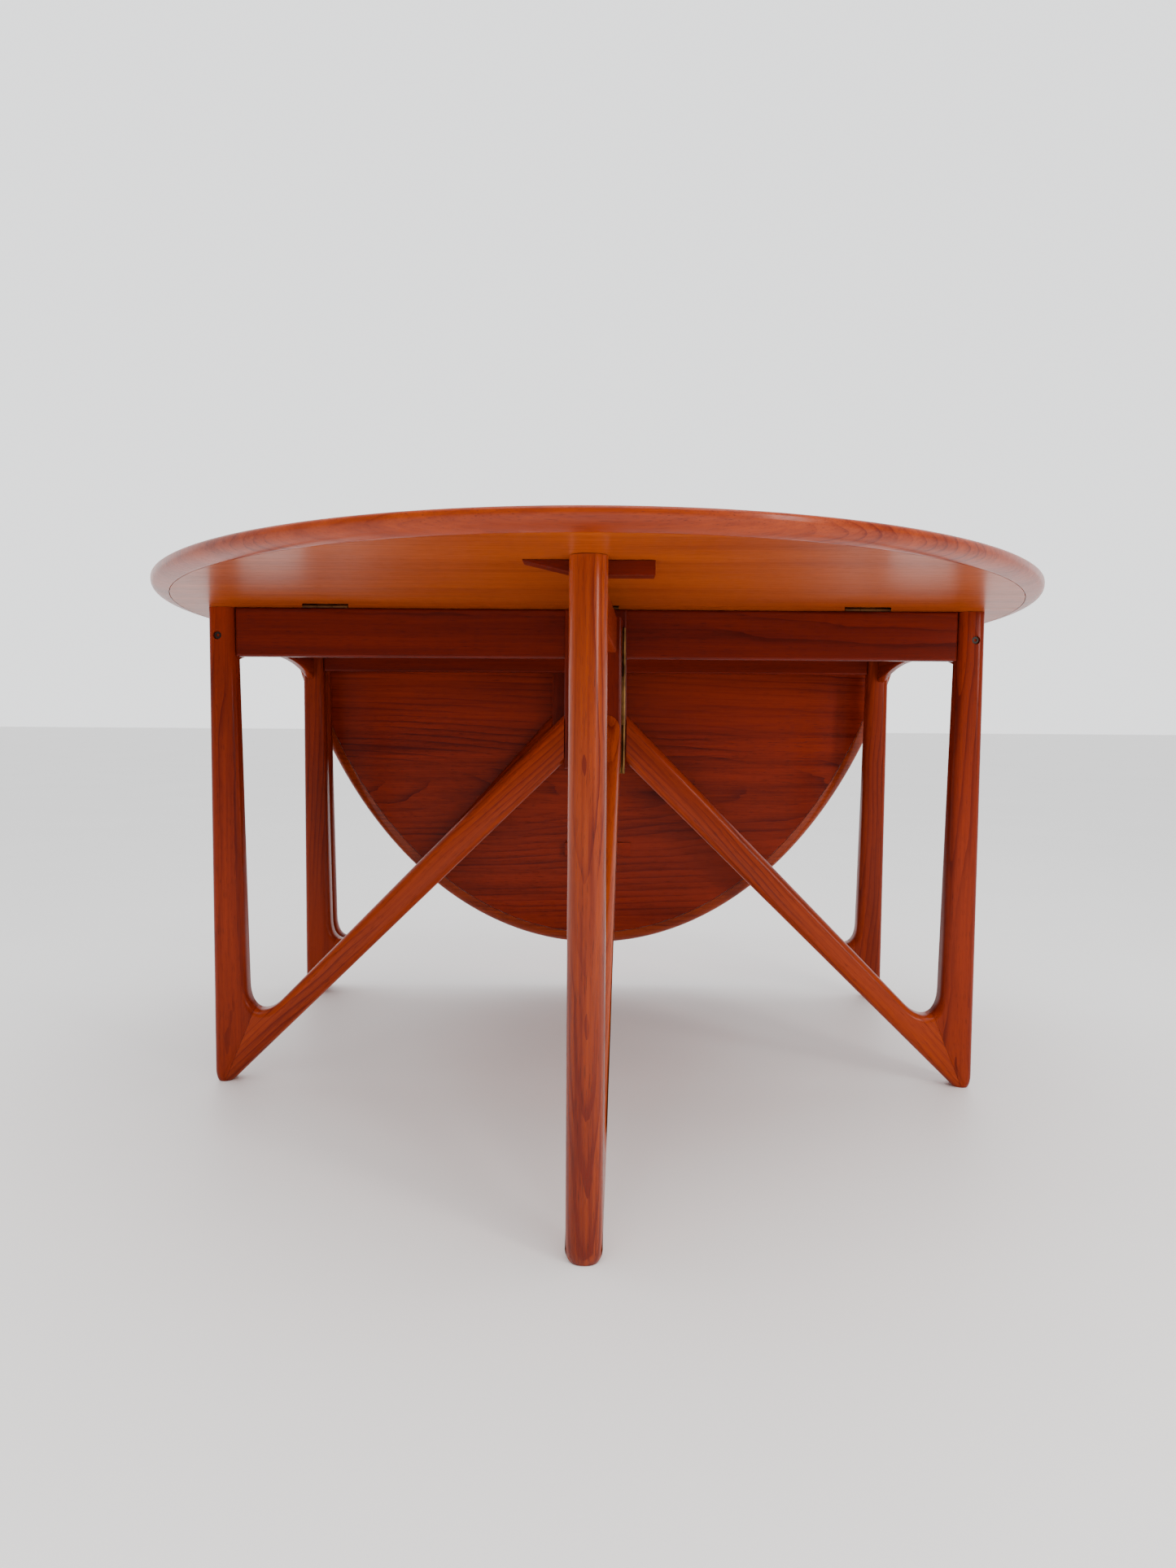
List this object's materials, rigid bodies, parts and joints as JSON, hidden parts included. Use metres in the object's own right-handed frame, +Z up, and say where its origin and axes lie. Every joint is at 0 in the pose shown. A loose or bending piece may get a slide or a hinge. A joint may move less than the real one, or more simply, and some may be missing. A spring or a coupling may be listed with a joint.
{
  "type": "drop leaf table",
  "caption": "Oval teak drop leaf table with one leaf up on its open gate leg and the other leaf hanging.",
  "frame": {"origin": "on the floor under the centre of the bounding box", "axes": "+Z up, X along the frame and the leaf hinges, -Y towards the raised leaf"},
  "size_m": [1.3, 1.2588, 0.72],
  "materials": {
    "teak_board": "satin lacquer",
    "teak_edge": "satin lacquer",
    "teak_frame": "satin lacquer",
    "brass": "brushed",
    "steel": "blackened"
  },
  "bodies": {
    "table": {"center_board": "teak_board", "center_edge_left": "teak_edge", "center_edge_right": "teak_edge", "front_left_leg": "teak_frame", "front_left_diagonal": "teak_frame", "front_left_bolt": "steel", "front_left_corner_block": "teak_frame", "front_right_leg": "teak_frame", "front_right_diagonal": "teak_frame", "front_right_bolt": "steel", "front_right_corner_block": "teak_frame", "front_rail": "teak_frame", "front_center_post": "teak_frame", "back_left_leg": "teak_frame", "back_left_diagonal": "teak_frame", "back_left_bolt": "steel", "back_left_corner_block": "teak_frame", "back_right_leg": "teak_frame", "back_right_diagonal": "teak_frame", "back_right_bolt": "steel", "back_right_corner_block": "teak_frame", "back_rail": "teak_frame", "back_center_post": "teak_frame", "left_end_rail": "teak_frame", "right_end_rail": "teak_frame", "front_leaf_hinge_1_fixed": "brass", "front_leaf_hinge_2_fixed": "brass", "front_leaf_hinge_3_fixed": "brass", "front_gate_hinge_fixed": "brass", "back_leaf_hinge_1_fixed": "brass", "back_leaf_hinge_2_fixed": "brass", "back_leaf_hinge_3_fixed": "brass", "back_gate_hinge_fixed": "brass", "front_leaf_board": "teak_board", "front_leaf_edge": "teak_edge", "front_leaf_runner": "teak_frame", "front_leaf_hinge_1_moving": "brass", "front_leaf_hinge_2_moving": "brass", "front_leaf_hinge_3_moving": "brass", "back_gate_leg": "teak_frame", "back_gate_diagonal": "teak_frame", "back_gate_stile": "teak_frame", "back_gate_rail": "teak_frame", "back_gate_hinge_moving": "brass"},
    "front_gate": {"front_gate_leg": "teak_frame", "front_gate_diagonal": "teak_frame", "front_gate_stile": "teak_frame", "front_gate_rail": "teak_frame", "front_gate_hinge_moving": "brass"},
    "back_leaf": {"back_leaf_board": "teak_board", "back_leaf_edge": "teak_edge", "back_leaf_runner": "teak_frame", "back_leaf_hinge_1_moving": "brass", "back_leaf_hinge_2_moving": "brass", "back_leaf_hinge_3_moving": "brass"}
  },
  "joints": [
    {"name": "front_gate_swing", "type": "hinge", "parent": "table", "child": "front_gate", "pos_m": [0.041, 0.0238, 0.5685], "axis": [0, 0, 1], "range_deg": [0, 93.1]},
    {"name": "back_leaf_lift", "type": "hinge", "parent": "table", "child": "back_leaf", "pos_m": [0, 0.6076, 0.6982], "axis": [1, 0, 0], "range_deg": [0, 90]}
  ]
}
